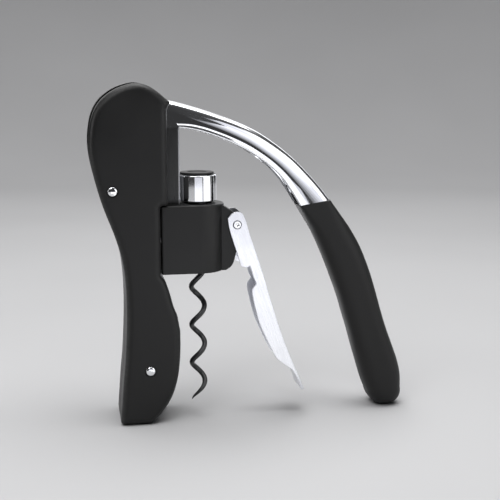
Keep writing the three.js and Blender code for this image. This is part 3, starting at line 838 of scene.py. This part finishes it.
def neck_clamp():
    """A sheet pressed into a channel: a solid with soft edges, hollowed from behind."""
    side = outline(
        (14.6, 105),
        [(15.4, 99.6), (17.5, 92.5), (20, 85), (21.5, 79.8)],
        [(24.6, 79)],
        [(26.2, 80.2)],
        [(28.2, 73.3), (29.4, 70.4), (27.4, 67), (28.4, 60), (31.3, 49.2), (35.8, 38.8), (40, 30.2)],
        [(43.3, 27.4), (48.6, 23.4)],
        [(50.4, 20.4), (52.3, 16.4), (53.6, 12.2)],
        [(55.2, 12.4)],
        [(53, 18.4), (49.2, 26.8), (43.3, 42.1), (36.7, 62.5), (32.1, 78.3), (26.7, 94.2), (24.2, 103)],
        [(22.4, 107), (20, 108.1), (16.8, 107.4)],
        steps=5,
    )
    hollow = outline(
        (0, 116),
        [(21.3, 116)],
        [(21.4, 104.6)],
        [(22.8, 102.6), (25.1, 93.6), (30.5, 77.7), (35.1, 62), (41.7, 41.5), (46.6, 28.9)],
        [(40, 20)],
        [(0, 40)],
        steps=5,
    )
    body = prism("neck_clamp_pressed", anticlockwise(rounded(side, 0.7)), -CLAMP_HALF, CLAMP_HALF)
    eased(body, 1.1, 4, 60)
    inner = CLAMP_HALF - CLAMP_SHEET
    cut(
        body,
        prism("hollow", rounded(hollow, 1.0), -inner, inner),
        rod("pin_hole", PIN_HOLE, -12, 12, "y", (CLAMP_X, 0, CLAMP_Z)),
    )
    return eased(body, 0.2, 2, 55)


add(neck_clamp(), "clamp", "clamp_steel", CLAMP, "neck_clamp", angle=32)


def clamp_pin():
    """A turned pin with a dimple in each end."""
    end = 9.6
    half = [(2, 0), (2, end - 0.3), (1.75, end), (1.1, end), (0.85, end - 0.22), (0, end - 0.34)]
    profile = [(r, -y) for r, y in half[:0:-1]] + half
    return turned("clamp_pin_turned", profile, "y", (CLAMP_X, 0, CLAMP_Z), 48)


add(clamp_pin(), "housing", "chrome", CHROME, "clamp_pin", angle=40)


def wire_along(name, points, radius, sides=10):
    """A round wire along points that are close together."""
    points = [Vector(p) for p in points]
    loops = []
    across = Vector((0, 1, 0.2)).normalized()
    for i, point in enumerate(points):
        ahead = (points[min(i + 1, len(points) - 1)] - points[max(i - 1, 0)]).normalized()
        across = (across - ahead * across.dot(ahead)).normalized()
        other = ahead.cross(across)
        loops.append([tuple(point + (across * math.cos(a) + other * math.sin(a)) * radius)
                      for a in np.linspace(0, 2 * math.pi, sides, endpoint=False)])
    return new_object(name, *skin(loops))


def clamp_spring():
    """The coil of a torsion spring: three turns between the lug's ears."""
    coil, half, turns = 2.72, 1.7, 3
    first = math.radians(250)
    points = []
    for t in np.linspace(0, 1, 90):
        angle = first + 2 * math.pi * turns * t
        x, z = CLAMP_X + coil * math.cos(angle), CLAMP_Z + coil * math.sin(angle)
        points.append((x, -half + 2 * half * t, z))
    return wire_along("clamp_spring_coil", points, 0.4)


add(clamp_spring(), "housing", "steel", STEEL, "clamp_spring", angle=60, weighted=False)


def neck_saddle():
    """A curved rubber pad with shallow grooves across it."""
    low, high = drawn_box("neck_saddle")
    inner, outer, groove = SADDLE_INNER, SADDLE_OUTER, 0.35
    half_angle = 38.5
    face = []
    for rib in range(6):
        z0 = low[2] + 1.8 + rib * 4.1
        face += [(inner, z0), (inner, z0 + 2.6), (inner + groove, z0 + 3), (inner + groove, z0 + 3.8)]
    section = [(outer, low[2]), (outer, high[2]), (inner + 0.5, high[2]), (inner, high[2] - 0.5),
               *face[::-1], (inner, low[2] + 0.5), (inner + 0.5, low[2])]
    loops = []
    for a in np.linspace(math.radians(180 - half_angle), math.radians(180 + half_angle), 41):
        loops.append([(r * math.cos(a), r * math.sin(a), z) for r, z in section])
    return eased(new_object("neck_saddle_ribbed", *skin(loops)), 0.15, 2, 50)


add(neck_saddle(), "housing", "soft_rubber", PAD, "neck_saddle", angle=40)


def foot_pad():
    """A rubber foot let into the body's underside, with rounded corners and a stepped edge."""
    low, high = drawn_box("foot_pad")
    middle = (low[0] + high[0]) / 2
    plan = rounded([(low[0], low[1]), (high[0], low[1]), (high[0], high[1]), (low[0], high[1])], 2.5)
    loops = []
    for inset, z in ((0.9, low[2]), (0.35, low[2] + 0.12), (0, low[2] + 0.5), (0, high[2])):
        loops.append([(x + math.copysign(inset, middle - x), y - math.copysign(inset, y), z)
                      for x, y in plan])
    return new_object("foot_pad_moulded", *skin(loops))


add(foot_pad(), "housing", "soft_rubber", PAD, "foot_pad", angle=50)


def rim_seat():
    """The soft ring that meets the bottle's rim, cut flat where the rack passes behind it."""
    inner, outer, bottom, top = 6.6, 12, COLLAR_BOTTOM, COLLAR_BOTTOM + 2.5
    corners = [(inner, bottom), (outer, bottom), (outer, top), (inner, top), (inner, top - 1)]
    seat = turned("rim_seat_moulded", soft_corners(corners, 0.35, 3), "z", (0, 0, 0), 96)
    cut(seat, box("back", -20, -8.4, -20, 20, 70, 90))
    return eased(seat, 0.2, 2, 50)


add(rim_seat(), "housing", "soft_rubber", PAD, "rim_seat", angle=40)


def helix_loops(wire, low, high, sides=20, per_turn=40, taper=0):
    """Sections of a right-handed coil; over the first `taper` millimetres the wire narrows to a point."""
    slope = WORM_PITCH / (2 * math.pi)
    count = int((high - low) / WORM_PITCH * per_turn)
    loops = []
    for z in np.linspace(low, high, count + 1):
        angle = 2 * math.pi * (z - WORM_CREST) / WORM_PITCH
        size = wire * min(1, 0.05 + ((z - low) / taper) ** 0.7) if z - low < taper else wire
        out = Vector((math.cos(angle), math.sin(angle), 0))
        along = Vector((-WORM_COIL * out.y, WORM_COIL * out.x, slope)).normalized()
        side = along.cross(out)
        centre = out * WORM_COIL + Vector((0, 0, z))
        loops.append([tuple(centre + out * size * math.cos(a) + side * size * math.sin(a))
                      for a in np.linspace(0, 2 * math.pi, sides, endpoint=False)])
    return loops


def worm():
    """A tapered, pointed helix that rises into a turned shank."""
    coil = new_object("worm_coil", *skin(helix_loops(WIRE, WORM_TIP, WORM_SHOULDER + 2, taper=11)))
    profile = soft_corners(
        [(0, WORM_SHOULDER), (4.6, WORM_SHOULDER), (4.6, 113.1), (2.9, 113.1), (2.9, 118.3), (6.5, 118.3),
         (6.5, 121.5), (0, 121.5)], 0.4, 3)
    return joined(coil, turned("shank", profile, "z", (0, 0, 0), 48))


add(worm(), "spindle", "worm_coating", WORM, "worm", angle=45, weighted=False)


def worm_nut():
    """A turned bush with the worm's channel cut through it."""
    low, high = drawn_box("worm_nut")
    blank = rod("worm_nut_turned", high[0], low[2], high[2], "z", (0, 0, 0), 96)
    channel = new_object("channel", *skin(helix_loops(WIRE + 0.85, low[2] - 8, high[2] + 8)))
    return eased(cut(blank, channel), 0.2, 2, 60)


add(worm_nut(), "housing", "bearing_plastic", ACETAL, "worm_nut", angle=40)


def ring(node, bore, edge=0.25):
    """A turned washer that fills a CAD node's box, with softened corners."""
    low, high = drawn_box(node)
    outside = high[1]
    profile = [(bore, low[2]), (outside - edge, low[2]), (outside, low[2] + edge),
               (outside, high[2] - edge), (outside - edge, high[2]), (bore + edge, high[2]),
               (bore, high[2] - edge)]
    return turned(node + "_turned", profile, "z", (0, 0, 0), 80)


add(ring("nut_retaining_ring", 5.4), "housing", "steel", STEEL, "nut_retaining_ring")
add(ring("thrust_washer", 3.3), "carriage", "bearing_plastic", ACETAL, "thrust_washer")


def pin(node, radius, edge=0.3):
    """A turned pin across the body, with bevelled ends."""
    low, high = drawn_box(node)
    middle = ((low[0] + high[0]) / 2, 0, (low[2] + high[2]) / 2)
    profile = [(0, low[1]), (radius - edge, low[1]), (radius, low[1] + edge), (radius, high[1] - edge),
               (radius - edge, high[1]), (0, high[1])]
    return turned(node + "_turned", profile, "y", middle, 40)


for pin_name, pin_body, pin_radius in [
    ("lever_axle", "housing", 4), ("guide_pin_1", "housing", 1.5), ("guide_pin_2", "housing", 1.5),
    ("gear_pin_1", "lever", 1.5), ("gear_pin_2", "lever", 1.5), ("gear_pin_3", "lever", 1.5),
]:
    add(pin(pin_name, pin_radius), pin_body, "steel", STEEL, pin_name)


# ------------------------------------------------------------------ pieces that keep their CAD shape

KEPT = [
    (STEEL, 0.2, ["spine_channel", "collar_screw_near", "collar_screw_far",
                  "hub_screw_upper", "hub_screw_lower"]),
    (STEEL, 0.12, ["drive_gear", "slide_rack"]),
    (GUIDE, 0.3, ["slide_guide"]),
    (PAD, 0.5, ["lever_stop"]),
    (ACETAL, 0.2, ["axle_bush_near", "axle_bush_far"]),
]
for material, width, names in KEPT:
    for node_name in names:
        node = frame["nodes"][node_name]
        node.data.materials.clear()
        node.data.materials.append(material)
        node.modifiers.new("weld", "WELD").merge_threshold = 0.00001
        ease = node.modifiers.new("ease", "BEVEL")
        ease.width = width * MM
        ease.segments = 2
        ease.limit_method = "ANGLE"
        ease.angle_limit = math.radians(40)
        ease.harden_normals = True


# ------------------------------------------------------------------ floor, light and camera

FLOOR_REACH, WALL_REACH, WALL_TOP = 1.1, 1.9, 2.4
CAMERA_AZIMUTH, CAMERA_ELEVATION = math.radians(-10), math.radians(10)
CAMERA_AWAY, CAMERA_LENS, CAMERA_SENSOR = 0.545, 75, 36
CARD_AWAY, CARD_FOOT, CARD_LEAN, CARD_LONG = 0.3, (0.096, 0.138), math.radians(41), 0.21
CARD_STRIPS, CARD_STRIP = 12, 0.015
CARD_GLOW, CARD_TINT = 1.25, (0.92, 0.93, 1.0)
# name, middle in x and z, size, glow
LOW_CARDS = [
    ("low_card", (-0.011, 0.05), (0.25, 0.1), 0.8),
    ("dim_card", (0.163, 0.03), (0.098, 0.06), 0.4),
]
FLOOR_CARD_X, FLOOR_CARD_Z, FLOOR_CARD_SIZE, FLOOR_CARD_POWER = 0.04, 0.002, (0.12, 0.46), 0.1
# height from -1 straight down to 1 straight up, as 0 to 1, and grey
SKY = [(0.0, 0.5), (0.37, 0.35), (0.41, 0.04), (0.58, 0.04), (0.86, 0.1), (0.93, 0.8), (1.0, 0.9)]
# name, place, aim, size, power, whether it is a card
STUDIO_LIGHTS = [
    ("key", (-0.55, -0.75, 1.15), (0, 0, 0.08), (0.8, 0.8), 7, False),
    ("overhead", (0.1, 0.1, 1.2), (0, 0, 0.08), (1.2, 0.7), 12, False),
    ("right", (0.42, -0.3, 0.26), (0, 0, 0.2), (0.45, 0.5), 1.0, True),
    ("left", (-0.7, -0.1, 0.3), (0, 0, 0.1), (0.2, 0.6), 1.2, True),
    ("behind", (0, 0.45, 0.5), (0, 0, 0.13), (0.9, 0.75), 2.1, True),
]


def turned_stage(name, profile, material):
    """A stage surface turned about the object's middle. The profile lists (radius, height)."""
    segments = 96
    turns = [2 * math.pi * k / segments for k in range(segments)]
    verts = [(r * math.cos(a), r * math.sin(a), z) for r, z in profile for a in turns]
    faces = []
    for i in range(len(profile) - 1):
        inner, outer = i * segments, (i + 1) * segments
        for k in range(segments):
            after = (k + 1) % segments
            faces.append((inner + k, inner + after, outer + after, outer + k))
    mesh = bpy.data.meshes.new(name)
    mesh.from_pydata(verts, [], faces)
    mesh.shade_smooth()
    mesh.materials.append(material)
    obj = bpy.data.objects.new(name, mesh)
    bpy.context.scene.collection.objects.link(obj)
    return obj


def floor():
    """A pale floor, and a backdrop that only the camera sees, so that it blocks no light."""
    s = Shader("pale_floor", Specular_IOR_Level=0.0)
    s.set("Base Color", s.ramp(s.noise(3, 2), (0.3, (0.53, 0.53, 0.535)), (0.7, (0.56, 0.56, 0.565))))
    s.set("Roughness", s.ranged(s.noise(8, 2), 0.5, 0.62))
    turned_stage("studio_floor", [(0.0001, 0), (0.3, 0), (FLOOR_REACH, 0)], s.material)
    rise = WALL_REACH - FLOOR_REACH
    sweep = [(FLOOR_REACH + rise * math.sin(a), rise * (1 - math.cos(a)))
             for a in np.linspace(0, math.pi / 2, 24)]
    backdrop = turned_stage("studio_backdrop", [*sweep, (WALL_REACH, WALL_TOP)], s.material)
    backdrop.visible_diffuse = backdrop.visible_glossy = backdrop.visible_shadow = False


def soft_light(name, place, aim, size, power, color=(1, 1, 1), card=False):
    """A soft box that the camera doesn't see. A card shows only as a reflection and lights nothing matt."""
    data = bpy.data.lights.new(name, "AREA")
    data.shape = "RECTANGLE"
    data.size, data.size_y = size
    data.energy = power
    data.color = color
    light = bpy.data.objects.new(name, data)
    bpy.context.scene.collection.objects.link(light)
    light.location = place
    light.rotation_euler = (Vector(aim) - Vector(place)).to_track_quat("-Z", "Y").to_euler()
    light.visible_camera = False
    light.visible_diffuse = not card
    return light


def reflected_cards(side):
    """Cards facing one side of the lever: a leaning one in strips, dim at its foot, and low ones."""
    label, y = ("near", "far")[side > 0], side * CARD_AWAY
    lean = Vector((math.cos(CARD_LEAN), 0, math.sin(CARD_LEAN)))
    foot = Vector((CARD_FOOT[0], y, CARD_FOOT[1]))
    for i in range(CARD_STRIPS):
        middle = foot + lean * (i + 0.5) * CARD_STRIP
        power = CARD_GLOW * min(1, 0.2 + 0.2 * i) * math.pi * CARD_LONG * CARD_STRIP
        light = soft_light(f"{label}_card_{i}", middle, (middle.x, 0, middle.z), (CARD_LONG, CARD_STRIP),
                           power, CARD_TINT, card=True)
        light.rotation_euler.rotate_axis("Z", side * (math.pi / 2 - CARD_LEAN))
    soft_light(f"{label}_floor_card", (FLOOR_CARD_X, y, FLOOR_CARD_Z), (FLOOR_CARD_X, y, 1),
               FLOOR_CARD_SIZE, FLOOR_CARD_POWER, card=True)
    for part, (x, z), size, glow in LOW_CARDS:
        power = glow * math.pi * size[0] * size[1]
        soft_light(f"{label}_{part}", (x, y, z), (x, 0, z), size, power, CARD_TINT, card=True)


def studio_world():
    """Soft grey surroundings, dark around the horizon, so that the plating has something to reflect."""
    world = bpy.data.worlds.new("studio")
    world.use_nodes = True
    bpy.context.scene.world = world
    tree = world.node_tree
    place = tree.nodes.new("ShaderNodeTexCoord")
    split = tree.nodes.new("ShaderNodeSeparateXYZ")
    ramp = tree.nodes.new("ShaderNodeValToRGB")
    while len(ramp.color_ramp.elements) < len(SKY):
        ramp.color_ramp.elements.new(0.5)
    for element, (position, value) in zip(ramp.color_ramp.elements, SKY):
        element.position = position
        element.color = (value, value, value * 1.02, 1)
    height = tree.nodes.new("ShaderNodeMapRange")
    height.inputs["From Min"].default_value = -1
    tree.links.new(place.outputs["Generated"], split.inputs["Vector"])
    tree.links.new(split.outputs["Z"], height.inputs["Value"])
    tree.links.new(height.outputs["Result"], ramp.inputs["Fac"])
    tree.links.new(ramp.outputs["Color"], tree.nodes["Background"].inputs["Color"])
    tree.nodes["Background"].inputs["Strength"].default_value = 1.0


def camera():
    """Seen from the side, a little from the left and from above, as the object is in the photograph."""
    centre = (cad_low + cad_high) / 2
    level = math.cos(CAMERA_ELEVATION)
    back = Vector((math.sin(CAMERA_AZIMUTH) * level, -math.cos(CAMERA_AZIMUTH) * level,
                   math.sin(CAMERA_ELEVATION)))
    data = bpy.data.cameras.new("camera")
    data.lens = CAMERA_LENS
    data.sensor_width = CAMERA_SENSOR
    cam = bpy.data.objects.new("camera", data)
    bpy.context.scene.collection.objects.link(cam)
    cam.location = centre + back * CAMERA_AWAY
    cam.rotation_euler = (-back).to_track_quat("-Z", "Y").to_euler()
    bpy.context.scene.camera = cam


floor()
studio_world()
for light_name, place, aim, light_size, light_power, is_card in STUDIO_LIGHTS:
    soft_light(light_name, place, aim, light_size, light_power, card=is_card)
reflected_cards(-1)
reflected_cards(1)
camera()
bpy.context.scene.view_settings.view_transform = "Standard"
